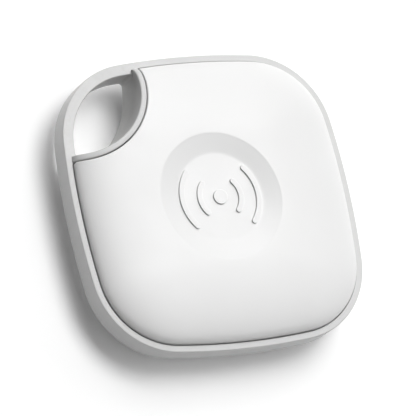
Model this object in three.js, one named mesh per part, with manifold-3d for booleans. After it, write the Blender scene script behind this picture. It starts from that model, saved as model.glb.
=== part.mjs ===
// A round-cornered tracking tag with a key loop through one corner, as an assembly of its real pieces.
// It lies on its back: the origin is the middle of the flat back, +Z points out of the front face,
// and the key loop is in the -X, +Y corner. All lengths are in millimetres.
import * as THREE from "three";
import { mergeVertices } from "three/addons/utils/BufferGeometryUtils.js";
import Module from "manifold-3d";

const wasm = await Module();
wasm.setup();

// ---------------------------------------------------------------- driving dimensions
// Plan: a square with bowed sides and round corners.
const HALF_WIDTH = 18.9;
const CORNER_RADIUS = 10.4;
const SIDE_RADIUS = 94;

// Levels, from the flat back to the crest of the cover.
const RIM_Z = 4.85;
const CREST_Z = 7.2;
const DISH_FLOOR_Z = 6.67;
const MARK_Z = 6.87;

// Rear case.
const WALL_FOOT_Z = 1.85;
const BACK_RUN = 8; // the back curves down from the wall's foot over this inset
const FOOT_ROUND = 0.35;
const RIM_ROUND = 0.15;
const RIM_WIDTH = 0.83;
const CASE_WALL = 1.9;
const LEDGE_Z = 3.95;
const FLOOR_Z = 0.85;
const FLOOR_THICKNESS = 0.75;

// Front cover.
const PART_LINE = 0.12;
const COVER_INSET = RIM_WIDTH + PART_LINE;
const COVER_RUN = 9.7; // inset over which the cover climbs from its edge to its crest
const CROWN_POWER = 1.5;
const EDGE_POWER = 2.6;
const COVER_THICKNESS = 0.9;
const SKIRT_Z = 4.15;

// Press dish, in the middle of the cover.
const DISH_RADIUS = 8.2;
const DISH_GAP = 0.15;
const DISH_FLOOR_RADIUS = 5.7;
const DISH_THICKNESS = 0.6;
const NUB_RADIUS = 1.2;
const NUB_Z = 5.93;
const STROKE = 0.7;

// Key loop.
const LOOP_CENTRE = new THREE.Vector2(-16.4, 16.4);
const LOOP_HOLE_RADIUS = 9.2;
const BITE_RADIUS = 10.05; // the cover is cut away round the loop to this radius
const COLLAR_RADIUS = BITE_RADIUS - PART_LINE;
const BITE_WALL_RADIUS = BITE_RADIUS + COVER_THICKNESS;
const BAND_WIDTH = 1.45;
const TIP_ROUND = 0.5;

// Circuit board.
const BOARD_Z = 4.66;
const BOARD_THICKNESS = 0.5;
const BOARD_INSET = 2.8;
const BOARD_BITE_RADIUS = 11.25;
const POST_RADIUS = 1.1;
const PIN_RADIUS = 0.5;
const PIN_HOLE_RADIUS = 0.75;
const PIN_Z = 5.4;
const POSTS = [
  new THREE.Vector2(13.2, 11.6),
  new THREE.Vector2(-3.8, 14.6),
  new THREE.Vector2(-14.6, 3.8),
  new THREE.Vector2(-1.5, -14.9),
];
const SEAT = 0.02; // clearance between faces that rest on each other

// Coin cell: the standard 20 by 3.2 size.
const CELL_CENTRE = new THREE.Vector2(4.5, -4.5);
const CELL_RADIUS = 10;
const CELL_HEIGHT = 3.2;
const CELL_Z = 1.2;

// Buzzer.
const BUZZER_CENTRE = new THREE.Vector2(-10.5, -9.4);
const BUZZER_RADIUS = 5.4;
const CERAMIC_RADIUS = 3.9;
const BUZZER_SEAT_Z = 2.2;
const BUZZER_SHEET = 0.15;

// Push switch, at the origin of the plan.
const SWITCH_HALF = 1.8;
const DOME_RADIUS = 1.3;

// Facets.
const SIDE_STEPS = 6;
const CORNER_STEPS = 9;
const ROUND_STEPS = 48;
const CELL_STEPS = 32;
const SMALL_STEPS = 16;

// ---------------------------------------------------------------- materials
function material(color, roughness, metalness = 0) {
  return new THREE.MeshStandardMaterial({ color, roughness, metalness });
}

const CASE_PLASTIC = material(0xe2e2e2, 0.42);
const COVER_PLASTIC = material(0xf4f4f4, 0.38);
const SEAL_RUBBER = material(0x3a3a3c, 0.8);
const BOARD_LAMINATE = material(0x1d5a3a, 0.45);
const BLACK_EPOXY = material(0x1a1a1c, 0.55);
const CERAMIC = material(0xcfc7b4, 0.5);
const CAPACITOR_CERAMIC = material(0x9c8468, 0.45);
const STEEL = material(0xb9bcc0, 0.3, 1);
const BRASS = material(0xc9a45a, 0.35, 1);
const NYLON = material(0x24262a, 0.6);
const FOAM = material(0x505256, 0.95);
const FILM = material(0xd9c27a, 0.3);

// ---------------------------------------------------------------- helpers
// How far a side arc's centre lies behind the middle of the tag, and a corner arc's centre from both axes, so
// that the two arcs are tangent where they meet.
const SIDE_OFFSET = SIDE_RADIUS - HALF_WIDTH;
const ARC_SPACING = SIDE_RADIUS - CORNER_RADIUS;
const CORNER_OFFSET = (Math.sqrt(2 * ARC_SPACING ** 2 - SIDE_OFFSET ** 2) - SIDE_OFFSET) / 2;
const SIDE_SWEEP = Math.atan2(CORNER_OFFSET, CORNER_OFFSET + SIDE_OFFSET);
const ORIGIN = new THREE.Vector2(0, 0);

function polar(radius, angle) {
  return new THREE.Vector2(radius * Math.cos(angle), radius * Math.sin(angle));
}

// Points along an arc, from the start angle up to, but without, the end angle.
function arc(centre, radius, start, end, steps) {
  const points = [];
  for (let i = 0; i < steps; i++) {
    points.push(polar(radius, start + ((end - start) * i) / steps).add(centre));
  }
  return points;
}

function circle(centre, radius, steps = ROUND_STEPS) {
  return arc(centre, radius, 0, 2 * Math.PI, steps);
}

function sideCentre(facing) {
  return polar(-SIDE_OFFSET, facing);
}

function cornerCentre(facing) {
  return polar(CORNER_OFFSET * Math.SQRT2, facing + Math.PI / 4);
}

// The tag's outline moved in by an inset, anticlockwise from the lower end of the +X side.
function outline(inset) {
  const points = [];
  for (let side = 0; side < 4; side++) {
    const facing = (side * Math.PI) / 2;
    const turn = facing + SIDE_SWEEP;
    const next = facing + Math.PI / 2 - SIDE_SWEEP;
    points.push(...arc(sideCentre(facing), SIDE_RADIUS - inset, facing - SIDE_SWEEP, turn, SIDE_STEPS));
    points.push(...arc(cornerCentre(facing), CORNER_RADIUS - inset, turn, next, CORNER_STEPS));
  }
  return points;
}

// How far in from the outline a point of the plan lies.
function insetAt(x, y) {
  const along = Math.max(Math.abs(x), Math.abs(y));
  const across = Math.min(Math.abs(x), Math.abs(y));
  if (Math.atan2(across, along + SIDE_OFFSET) < SIDE_SWEEP) {
    return SIDE_RADIUS - Math.hypot(along + SIDE_OFFSET, across);
  }
  return CORNER_RADIUS - Math.hypot(along - CORNER_OFFSET, across - CORNER_OFFSET);
}

// Height of the cover's outer surface: a steep edge that eases into a gentle crown.
function coverZ(x, y) {
  const run = THREE.MathUtils.clamp((insetAt(x, y) - COVER_INSET) / COVER_RUN, 0, 1);
  return RIM_Z + (CREST_Z - RIM_Z) * (1 - (1 - run) ** CROWN_POWER) ** (1 / EDGE_POWER);
}

// Height of the case's domed back at an inset from the outline.
function backZ(inset) {
  return WALL_FOOT_Z * (1 - Math.min(inset / BACK_RUN, 1)) ** 2;
}

function levelRing(points, z) {
  return points.map((p) => new THREE.Vector3(p.x, p.y, z));
}

function pole(z) {
  return outline(0).map(() => new THREE.Vector3(0, 0, z));
}

// Turns a closed geometry into a solid that can be joined and cut.
function solid(geometry) {
  geometry.deleteAttribute("normal");
  geometry.deleteAttribute("uv");
  const merged = mergeVertices(geometry);
  return new wasm.Manifold(
    new wasm.Mesh({
      numProp: 3,
      vertProperties: merged.getAttribute("position").array,
      triVerts: new Uint32Array(merged.index.array),
    }),
  );
}

// Skins a solid through rings of equal length, from a pole at the bottom to a pole at the top. A lathe gives
// the faces, and each of its points then moves to its place on its ring.
function loft(rings) {
  const steps = rings[0].length;
  const profile = rings.map((ring, level) => new THREE.Vector2(1, level));
  const geometry = new THREE.LatheGeometry(profile, steps);
  const position = geometry.getAttribute("position");
  for (let i = 0; i < position.count; i++) {
    const point = rings[i % rings.length][Math.floor(i / rings.length) % steps];
    position.setXYZ(i, point.x, point.y, point.z);
  }
  return solid(geometry);
}

function prism(points, low, high, holes = []) {
  const shape = new THREE.Shape(points);
  shape.holes = holes.map((hole) => new THREE.Path(hole));
  const geometry = new THREE.ExtrudeGeometry(shape, { depth: high - low, bevelEnabled: false });
  return solid(geometry.translate(0, 0, low));
}

function disc(centre, radius, low, high, steps = ROUND_STEPS) {
  return prism(circle(centre, radius, steps), low, high);
}

function tube(centre, outer, inner, low, high, steps = ROUND_STEPS) {
  return prism(circle(centre, outer, steps), low, high, [circle(centre, inner, steps)]);
}

function block(centre, width, depth, low, high) {
  const geometry = new THREE.BoxGeometry(width, depth, high - low);
  return solid(geometry.translate(centre.x, centre.y, (low + high) / 2));
}

// A turned solid from [radius, z] pairs that start and end on the axis, or close on themselves.
function turned(profile, steps = ROUND_STEPS) {
  const points = profile.map(([radius, z]) => new THREE.Vector2(radius, z));
  return solid(new THREE.LatheGeometry(points, steps).rotateX(Math.PI / 2));
}

// A strip of sheet metal bent through [run, z] points, centred on y = 0.
function bentStrip(route, thickness, width) {
  const path = new THREE.SplineCurve(route.map(([run, z]) => new THREE.Vector2(run, z))).getPoints(14);
  const edge = (side) =>
    path.map((point, i) => {
      const before = path[Math.max(i - 1, 0)];
      const after = path[Math.min(i + 1, path.length - 1)];
      const along = after.clone().sub(before).setLength((side * thickness) / 2);
      return new THREE.Vector2(point.x - along.y, point.y + along.x);
    });
  const shape = new THREE.Shape([...edge(1), ...edge(-1).reverse()]);
  const geometry = new THREE.ExtrudeGeometry(shape, { depth: width, bevelEnabled: false });
  return solid(geometry.translate(0, 0, -width / 2).rotateX(Math.PI / 2));
}

// The point where two circles meet, on the left of the line from the first centre to the second.
function circlesMeet(first, firstRadius, second, secondRadius) {
  const between = second.clone().sub(first);
  const distance = between.length();
  const along = (distance ** 2 + firstRadius ** 2 - secondRadius ** 2) / (2 * distance);
  const across = Math.sqrt(firstRadius ** 2 - along ** 2);
  const unit = between.divideScalar(distance);
  return new THREE.Vector2(unit.x * along - unit.y * across, unit.y * along + unit.x * across).add(first);
}

const tag = new THREE.Group();

function addPiece(group, name, shape, surface) {
  const mesh = shape.getMesh();
  const geometry = new THREE.BufferGeometry();
  geometry.setAttribute("position", new THREE.BufferAttribute(mesh.vertProperties, 3));
  geometry.setIndex(new THREE.BufferAttribute(mesh.triVerts, 1));
  geometry.computeVertexNormals();
  const piece = new THREE.Mesh(geometry, surface);
  piece.name = name;
  group.add(piece);
  return piece;
}

// ---------------------------------------------------------------- key loop
// The plan of the loop's hole: the band's inner edge, the collar's circle, and two round tips.
function loopHole() {
  const left = Math.PI;
  const up = Math.PI / 2;
  const leftSide = sideCentre(left);
  const topSide = sideCentre(up);
  const tipSide = SIDE_RADIUS - BAND_WIDTH - TIP_ROUND;
  const leftTip = circlesMeet(leftSide, tipSide, LOOP_CENTRE, LOOP_HOLE_RADIUS - TIP_ROUND);
  const topTip = new THREE.Vector2(-leftTip.y, -leftTip.x);
  const bearing = (from, to) => to.clone().sub(from).angle();
  const sideRadius = SIDE_RADIUS - BAND_WIDTH;
  const bandStart = bearing(topSide, topTip);
  const bandEnd = bearing(leftSide, leftTip);
  const collarStart = bearing(LOOP_CENTRE, leftTip);
  const collarEnd = bearing(LOOP_CENTRE, topTip) + 2 * Math.PI;
  return [
    ...arc(topSide, sideRadius, bandStart, up + SIDE_SWEEP, 2),
    ...arc(cornerCentre(up), CORNER_RADIUS - BAND_WIDTH, up + SIDE_SWEEP, left - SIDE_SWEEP, CORNER_STEPS),
    ...arc(leftSide, sideRadius, left - SIDE_SWEEP, bandEnd, 2),
    ...arc(leftTip, TIP_ROUND, bandEnd, collarStart, 5),
    ...arc(LOOP_CENTRE, LOOP_HOLE_RADIUS, collarStart, collarEnd, CORNER_STEPS),
    ...arc(topTip, TIP_ROUND, collarEnd, bandStart + 2 * Math.PI, 5),
  ];
}

// ---------------------------------------------------------------- rear case
// Rings of the case's outside, from the flat of the back up to the rim's rounded outer edge.
function caseOutsideRings() {
  const rings = [];
  const backSteps = 4;
  for (let i = 0; i < backSteps; i++) {
    const inset = THREE.MathUtils.lerp(BACK_RUN, FOOT_ROUND, i / backSteps);
    rings.push(levelRing(outline(inset), backZ(inset)));
  }
  const foot = new THREE.QuadraticBezierCurve(
    new THREE.Vector2(FOOT_ROUND, backZ(FOOT_ROUND)),
    new THREE.Vector2(0, backZ(0)),
    new THREE.Vector2(0, backZ(0) + FOOT_ROUND),
  );
  foot.getPoints(3).forEach((p) => rings.push(levelRing(outline(p.x), p.y)));
  arc(new THREE.Vector2(RIM_ROUND, RIM_Z - RIM_ROUND), RIM_ROUND, Math.PI, Math.PI / 2, 2).forEach((p) =>
    rings.push(levelRing(outline(p.x), p.y)),
  );
  rings.push(levelRing(outline(RIM_ROUND), RIM_Z));
  return rings;
}

// The case's hollow, its floor lowered by a drop: cavity, ledge for the seal, and recess for the cover.
function caseHollow(drop) {
  const rings = [pole(FLOOR_Z - drop)];
  const floorSteps = 3;
  for (let i = 0; i <= floorSteps; i++) {
    const inset = THREE.MathUtils.lerp(BACK_RUN, CASE_WALL, i / floorSteps);
    rings.push(levelRing(outline(inset), Math.max(FLOOR_Z, backZ(inset) + FLOOR_THICKNESS) - drop));
  }
  rings.push(levelRing(outline(CASE_WALL), LEDGE_Z));
  rings.push(levelRing(outline(RIM_WIDTH), LEDGE_Z));
  rings.push(levelRing(outline(RIM_WIDTH), CREST_Z));
  rings.push(pole(CREST_Z));
  return loft(rings);
}

function boardPosts() {
  return POSTS.map((at) =>
    disc(at, POST_RADIUS, 0, BOARD_Z - SEAT, SMALL_STEPS).add(disc(at, PIN_RADIUS, 1, PIN_Z, SMALL_STEPS)),
  ).reduce((all, post) => all.add(post));
}

function rearCase() {
  const block = loft([pole(0), ...caseOutsideRings(), pole(RIM_Z)]);
  const loopFoot = disc(LOOP_CENTRE, BITE_WALL_RADIUS, -1, LEDGE_Z);
  const loopTop = disc(LOOP_CENTRE, COLLAR_RADIUS, -1, CREST_Z);
  const shell = block.subtract(caseHollow(0).subtract(loopFoot).subtract(loopTop));
  const collar = coverBlock().intersect(tube(LOOP_CENTRE, COLLAR_RADIUS, LOOP_HOLE_RADIUS, 0, CREST_Z));
  const buzzerSeat = tube(BUZZER_CENTRE, BUZZER_RADIUS, BUZZER_RADIUS - 0.6, 0, BUZZER_SEAT_Z - SEAT);
  const fittings = boardPosts().add(buzzerSeat).intersect(caseHollow(FLOOR_THICKNESS / 2));
  return shell.add(fittings).add(collar).subtract(prism(loopHole(), -1, CREST_Z + 1));
}

// ---------------------------------------------------------------- front cover
// Rings over the crown from an inset outline to the dish's edge, closest together at the steep edge.
function crownRings(inset, drop) {
  const rings = [];
  const steps = 7;
  for (let i = 1; i <= steps; i++) {
    const share = (i / steps) ** 2.6;
    rings.push(
      outline(inset).map((p) => {
        const at = p.clone().lerp(p.clone().setLength(DISH_RADIUS), share);
        return new THREE.Vector3(at.x, at.y, coverZ(at.x, at.y) - drop);
      }),
    );
  }
  return rings;
}

// The cover as a solid block, from the foot of its skirt to its crown.
function coverBlock() {
  return loft([
    pole(SKIRT_Z),
    levelRing(outline(COVER_INSET), SKIRT_Z),
    levelRing(outline(COVER_INSET), RIM_Z),
    ...crownRings(COVER_INSET, 0),
    pole(CREST_Z),
  ]);
}

function coverHollow() {
  const inset = COVER_INSET + COVER_THICKNESS;
  return loft([
    pole(0),
    levelRing(outline(inset), 0),
    outline(inset).map((p) => new THREE.Vector3(p.x, p.y, coverZ(p.x, p.y) - COVER_THICKNESS)),
    ...crownRings(inset, COVER_THICKNESS),
    pole(CREST_Z - COVER_THICKNESS),
  ]);
}

function frontCover() {
  const block = coverBlock();
  const biteWall = block.intersect(disc(LOOP_CENTRE, BITE_WALL_RADIUS, 0, CREST_Z));
  return block
    .subtract(coverHollow())
    .add(biteWall)
    .subtract(disc(LOOP_CENTRE, BITE_RADIUS, 0, CREST_Z + 1))
    .subtract(disc(ORIGIN, DISH_RADIUS, 0, CREST_Z + 1));
}

function sealGasket() {
  const low = LEDGE_Z + SEAT;
  const high = SKIRT_Z - SEAT;
  const slack = 0.06;
  const outside = prism(outline(COVER_INSET + slack), low, high);
  const inside = prism(outline(COVER_INSET + COVER_THICKNESS - slack), 0, CREST_Z);
  return outside
    .subtract(disc(LOOP_CENTRE, BITE_RADIUS + slack, 0, CREST_Z))
    .subtract(inside.subtract(disc(LOOP_CENTRE, BITE_WALL_RADIUS - slack, 0, CREST_Z)));
}

// ---------------------------------------------------------------- press dish
// One stroke of the raised mark: part of a ring with round ends.
function arcStroke(radius, facing, halfSweep) {
  const start = facing - halfSweep;
  const end = facing + halfSweep;
  return prism(
    [
      ...arc(ORIGIN, radius + STROKE / 2, start, end, 9),
      ...arc(polar(radius, end), STROKE / 2, end, end + Math.PI, 6),
      ...arc(ORIGIN, radius - STROKE / 2, end, start, 9),
      ...arc(polar(radius, start), STROKE / 2, start + Math.PI, start + 2 * Math.PI, 6),
    ],
    DISH_FLOOR_Z - DISH_THICKNESS / 2,
    MARK_Z,
  );
}

// A generic signal mark: a dot between two pairs of arcs.
function signalMark() {
  const halfSweep = 0.72;
  let mark = disc(ORIGIN, 0.95, DISH_FLOOR_Z - DISH_THICKNESS / 2, MARK_Z, SMALL_STEPS);
  for (const facing of [0, Math.PI]) {
    for (const radius of [2.8, 5.2]) {
      mark = mark.add(arcStroke(radius, facing, halfSweep));
    }
  }
  return mark;
}

function pressDish() {
  const rim = DISH_RADIUS - DISH_GAP;
  const under = DISH_FLOOR_Z - DISH_THICKNESS;
  const slope = (CREST_Z - DISH_FLOOR_Z) / (DISH_RADIUS - DISH_FLOOR_RADIUS);
  const rimZ = CREST_Z - slope * DISH_GAP;
  return turned([
    [0, NUB_Z],
    [NUB_RADIUS, NUB_Z],
    [NUB_RADIUS, under],
    [DISH_FLOOR_RADIUS, under],
    [rim, rimZ - DISH_THICKNESS],
    [rim, rimZ],
    [DISH_FLOOR_RADIUS, DISH_FLOOR_Z],
    [0, DISH_FLOOR_Z],
  ]).add(signalMark());
}

// ---------------------------------------------------------------- circuit board and what it carries
function circuitBoard() {
  const top = BOARD_Z + BOARD_THICKNESS;
  const bite = disc(LOOP_CENTRE, BOARD_BITE_RADIUS, 0, CREST_Z);
  let board = prism(outline(BOARD_INSET), BOARD_Z, top).subtract(bite);
  for (const at of POSTS) {
    board = board.subtract(disc(at, PIN_HOLE_RADIUS, 0, CREST_Z, SMALL_STEPS));
  }
  return board;
}

// A chip part hung under the board: a body that narrows a little towards its free face.
function chipUnder(centre, width, depth, height) {
  const high = BOARD_Z - SEAT;
  const foot = block(centre, width, depth, high - height * 0.8, high);
  return foot.add(block(centre, width - 0.3, depth - 0.3, high - height, high - height * 0.5));
}

// A two-ended chip part lying on the board, with raised end caps.
function chipOnTop(centre, length, width, height) {
  const low = BOARD_Z + BOARD_THICKNESS + SEAT;
  let part = block(centre, length - 0.1, width - 0.08, low, low + height - 0.04);
  for (const end of [-1, 1]) {
    const at = new THREE.Vector2(centre.x + (end * (length - 0.3)) / 2, centre.y);
    part = part.add(block(at, 0.3, width, low, low + height));
  }
  return part;
}

function addBoard() {
  const group = new THREE.Group();
  const at = (x, y) => new THREE.Vector2(x, y);
  addPiece(group, "circuit_board", circuitBoard(), BOARD_LAMINATE);
  addPiece(group, "radio_chip", chipUnder(at(8.6, 9.8), 5, 5, 0.85), BLACK_EPOXY);
  addPiece(group, "radio_crystal", chipUnder(at(3.6, 9.6), 2, 1.6, 0.5), STEEL);
  addPiece(group, "clock_crystal", chipUnder(at(-0.6, 9.4), 3.2, 1.5, 0.75), CERAMIC);
  addPiece(group, "chip_antenna", chipUnder(at(3.2, 14.4), 7, 2, 0.8), CERAMIC);
  addPiece(group, "buzzer_inductor", chipUnder(at(-9.6, 0.6), 3, 3, 1.5), BLACK_EPOXY);
  addPiece(group, "supply_capacitor", chipUnder(at(-4.6, 6.6), 3.5, 2.8, 1.6), CAPACITOR_CERAMIC);
  const spots = [at(-5.2, 3), at(-5.2, 1), at(-5.2, -1), at(5, 2.4), at(5, 0.4), at(5, -1.6)];
  spots.forEach((spot, i) => {
    const resistor = i % 3 === 2;
    const name = (resistor ? "resistor_" : "capacitor_") + (i + 1);
    const surface = resistor ? BLACK_EPOXY : CAPACITOR_CERAMIC;
    addPiece(group, name, chipOnTop(spot, 1.6, 0.8, resistor ? 0.3 : 0.4), surface);
  });
  tag.add(group);
}

// ---------------------------------------------------------------- push switch
const SWITCH_Z = BOARD_Z + BOARD_THICKNESS + SEAT;
const SWITCH_FLOOR_Z = SWITCH_Z + 0.06;
const SWITCH_SPLIT_Z = 5.4;
const SWITCH_TOP_Z = 5.7;
const SWITCH_RECESS = DOME_RADIUS + 0.15;
const PLUNGER_RADIUS = 0.85;
const PLUNGER_Z = 5.5;
const PLUNGER_TOP_Z = 5.9;
const FLANGE_THICKNESS = 0.07;

function switchBase() {
  const recess = disc(ORIGIN, SWITCH_RECESS, SWITCH_FLOOR_Z, CREST_Z, SMALL_STEPS);
  return block(ORIGIN, 2 * SWITCH_HALF, 2 * SWITCH_HALF, SWITCH_Z, SWITCH_SPLIT_Z).subtract(recess);
}

function switchFrame() {
  const flangeRoom = disc(ORIGIN, SWITCH_RECESS, 0, PLUNGER_Z + 2 * FLANGE_THICKNESS, SMALL_STEPS);
  const hole = disc(ORIGIN, PLUNGER_RADIUS + 0.15, 0, CREST_Z, SMALL_STEPS);
  const frame = block(ORIGIN, 2 * SWITCH_HALF, 2 * SWITCH_HALF, SWITCH_SPLIT_Z + SEAT, SWITCH_TOP_Z);
  return frame.subtract(flangeRoom).subtract(hole);
}

function switchPlunger() {
  const flange = PLUNGER_RADIUS + 0.4;
  return turned(
    [
      [0, PLUNGER_Z],
      [flange, PLUNGER_Z],
      [flange, PLUNGER_Z + FLANGE_THICKNESS],
      [PLUNGER_RADIUS, PLUNGER_Z + FLANGE_THICKNESS],
      [PLUNGER_RADIUS, PLUNGER_TOP_Z],
      [0, PLUNGER_TOP_Z],
    ],
    SMALL_STEPS,
  );
}

// The snap dome: a thin round cap that gives the click.
function switchDome() {
  const sheet = 0.05;
  const low = SWITCH_FLOOR_Z + SEAT;
  const rise = PLUNGER_Z - SEAT - sheet - low;
  const under = [];
  for (let i = 0; i <= 4; i++) {
    const radius = DOME_RADIUS * (1 - i / 4);
    under.push([radius, low + rise * (1 - (radius / DOME_RADIUS) ** 2)]);
  }
  const over = under.map(([radius, z]) => [radius, z + sheet]).reverse();
  return turned([...under.reverse(), ...over.reverse()], SMALL_STEPS);
}

function addSwitch() {
  const group = new THREE.Group();
  addPiece(group, "switch_base", switchBase(), NYLON);
  addPiece(group, "switch_dome", switchDome(), STEEL);
  addPiece(group, "switch_frame", switchFrame(), STEEL);
  addPiece(group, "switch_plunger", switchPlunger(), NYLON);
  tag.add(group);
}

// ---------------------------------------------------------------- coin cell and its contacts
// The cell is drawn standing on z = 0 and its group lifts it into the case.
const CAN_SHEET = 0.25;
const CAN_HEIGHT = 3;
const CAP_RADIUS = 8.9;
const CRIMP_RADIUS = 9.35;
const CAP_FLOOR_Z = 0.55;

function cellCan() {
  return turned([
    [0, 0],
    [CELL_RADIUS - 0.3, 0],
    [CELL_RADIUS, 0.3],
    [CELL_RADIUS, CAN_HEIGHT - 0.35],
    [CRIMP_RADIUS, CAN_HEIGHT],
    [CRIMP_RADIUS, CAN_HEIGHT - CAN_SHEET],
    [CELL_RADIUS - CAN_SHEET, CAN_HEIGHT - 0.55],
    [CELL_RADIUS - CAN_SHEET, CAN_SHEET],
    [0, CAN_SHEET],
  ], CELL_STEPS);
}

function cellGasket() {
  const inner = CAP_RADIUS + 0.05;
  const outer = CRIMP_RADIUS - 0.05;
  const low = CAN_SHEET + SEAT;
  const wall = tube(ORIGIN, outer, inner, low, CAN_HEIGHT, CELL_STEPS);
  return wall.add(tube(ORIGIN, outer, inner - 0.6, low, CAP_FLOOR_Z - SEAT, CELL_STEPS));
}

// The cap stands for the cap and the active mass that it closes in.
function cellCap() {
  return turned([
    [0, CAN_SHEET + SEAT],
    [CAP_RADIUS - 1, CAN_SHEET + SEAT],
    [CAP_RADIUS - 1, CAP_FLOOR_Z],
    [CAP_RADIUS, CAP_FLOOR_Z],
    [CAP_RADIUS, CELL_HEIGHT - 0.3],
    [CAP_RADIUS - 0.25, CELL_HEIGHT],
    [0, CELL_HEIGHT],
  ], CELL_STEPS);
}

function addCell() {
  const group = new THREE.Group();
  group.position.set(CELL_CENTRE.x, CELL_CENTRE.y, CELL_Z);
  addPiece(group, "cell_can", cellCan(), STEEL);
  addPiece(group, "cell_gasket", cellGasket(), NYLON);
  addPiece(group, "cell_cap", cellCap(), STEEL);
  addPiece(group, "cell_pad", disc(ORIGIN, 7.9, FLOOR_Z + SEAT - CELL_Z, -SEAT, CELL_STEPS), FOAM);
  const filmLow = CELL_HEIGHT + 0.13;
  addPiece(group, "insulating_film", disc(ORIGIN, 9, filmLow, filmLow + 0.1, CELL_STEPS), FILM);

  const sheet = 0.08;
  const footZ = BOARD_Z - SEAT - sheet / 2 - CELL_Z;
  const capZ = CELL_HEIGHT + SEAT + sheet / 2;
  const negativeRoute = [
    [0, capZ],
    [4, capZ],
    [8.9, capZ],
    [10, (capZ + footZ) / 2],
    [11, footZ],
    [12.6, footZ],
  ];
  const negative = addPiece(group, "negative_tab", bentStrip(negativeRoute, sheet, 3), STEEL);
  negative.rotation.z = Math.PI / 2;

  const canSide = CELL_RADIUS + 0.06 + sheet / 2;
  const positiveRoute = [
    [canSide, 0.9],
    [canSide, footZ - 0.8],
    [canSide + 0.25, footZ - 0.2],
    [canSide + 0.8, footZ],
    [canSide + 1.3, footZ],
  ];
  addPiece(group, "positive_tab", bentStrip(positiveRoute, sheet, 3), STEEL);
  tag.add(group);
}

// ---------------------------------------------------------------- buzzer
function addBuzzer() {
  const group = new THREE.Group();
  group.position.set(BUZZER_CENTRE.x, BUZZER_CENTRE.y, 0);
  const foamTop = BUZZER_SEAT_Z + 0.15;
  const plateLow = foamTop + SEAT;
  const plateTop = plateLow + BUZZER_SHEET;
  const ceramicLow = plateTop + SEAT;
  const ceramicTop = ceramicLow + BUZZER_SHEET;
  const foam = tube(ORIGIN, BUZZER_RADIUS, BUZZER_RADIUS - 0.6, BUZZER_SEAT_Z, foamTop, CELL_STEPS);
  addPiece(group, "buzzer_foam_ring", foam, FOAM);
  addPiece(group, "buzzer_plate", disc(ORIGIN, BUZZER_RADIUS, plateLow, plateTop, CELL_STEPS), BRASS);
  const ceramic = disc(ORIGIN, CERAMIC_RADIUS, ceramicLow, ceramicTop, CELL_STEPS);
  addPiece(group, "buzzer_ceramic", ceramic, CERAMIC);

  const sheet = 0.12;
  const footZ = BOARD_Z - SEAT - sheet / 2;
  const springRoute = (contactZ) => {
    const restZ = contactZ + SEAT + sheet / 2;
    return [
      [-0.5, restZ + 0.25],
      [0, restZ],
      [0.5, restZ + 0.2],
      [1.3, (restZ + footZ) / 2],
      [1.9, footZ - 0.12],
      [2.6, footZ],
      [3.6, footZ],
    ];
  };
  const contacts = [
    { name: "ceramic_spring", reach: 1.6, bearing: 0.45, z: ceramicTop },
    { name: "plate_spring", reach: 4.65, bearing: 2.9, z: plateTop },
  ];
  contacts.forEach(({ name, reach, bearing, z }) => {
    const spring = addPiece(group, name, bentStrip(springRoute(z), sheet, 1.1), BRASS);
    const at = polar(reach, bearing);
    spring.position.set(at.x, at.y, 0);
    spring.rotation.z = Math.PI / 2;
  });
  tag.add(group);
}

// ---------------------------------------------------------------- the tag
addPiece(tag, "rear_case", rearCase(), CASE_PLASTIC);
addPiece(tag, "front_cover", frontCover(), COVER_PLASTIC);
addPiece(tag, "press_dish", pressDish(), COVER_PLASTIC);
addPiece(tag, "seal_gasket", sealGasket(), SEAL_RUBBER);
addBoard();
addSwitch();
addCell();
addBuzzer();

export default tag;
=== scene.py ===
# %% [markdown]
# # A tracking tag for keys
# The real object is a flat plastic pebble: a tub-shaped rear case, a pillow-shaped front cover that
# drops inside the case's rim, a round sunk dish in the middle that flexes when it is pressed, and a
# hole through one corner for a key ring. The packed CAD model already holds every piece at its real
# place, so this script never moves anything. It makes the three visible shells again as smooth
# meshes with rounded edges, and gives every piece, inside and out, a finish of its own.

import math

import bpy
import numpy as np
from mathutils import Matrix, Vector


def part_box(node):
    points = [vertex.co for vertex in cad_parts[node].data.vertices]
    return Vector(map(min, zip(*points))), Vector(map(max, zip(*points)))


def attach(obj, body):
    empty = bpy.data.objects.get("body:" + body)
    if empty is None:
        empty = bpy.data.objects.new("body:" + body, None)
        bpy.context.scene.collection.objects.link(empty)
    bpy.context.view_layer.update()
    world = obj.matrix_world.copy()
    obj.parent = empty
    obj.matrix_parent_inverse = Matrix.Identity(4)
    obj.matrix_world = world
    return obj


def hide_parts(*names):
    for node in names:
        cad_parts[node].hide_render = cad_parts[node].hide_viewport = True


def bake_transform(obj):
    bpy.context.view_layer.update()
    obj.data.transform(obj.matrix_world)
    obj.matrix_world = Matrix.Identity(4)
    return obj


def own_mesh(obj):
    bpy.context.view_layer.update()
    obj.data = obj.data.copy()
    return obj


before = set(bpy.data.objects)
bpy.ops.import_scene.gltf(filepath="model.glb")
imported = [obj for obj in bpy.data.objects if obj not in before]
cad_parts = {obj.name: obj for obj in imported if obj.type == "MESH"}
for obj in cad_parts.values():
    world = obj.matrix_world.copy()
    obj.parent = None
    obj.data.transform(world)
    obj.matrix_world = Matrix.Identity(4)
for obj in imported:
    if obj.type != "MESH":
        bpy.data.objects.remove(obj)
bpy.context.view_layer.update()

# %% [markdown]
# ## Sizes
# Shapes this small are easier to think about in millimetres, so the outlines below are worked out
# in millimetres and every mesh is scaled to metres when it is made. What the frame can tell is read
# from it: the boxes of the CAD pieces give the width, the height, the edge of the cover and the
# edge of the dish. The other values are the driving dimensions of the design.

# %% Sizes from the frame
MM = 0.001
case_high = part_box("rear_case")[1] / MM
cover_low, cover_high = (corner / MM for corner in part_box("front_cover"))
dish_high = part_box("press_dish")[1] / MM

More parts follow.
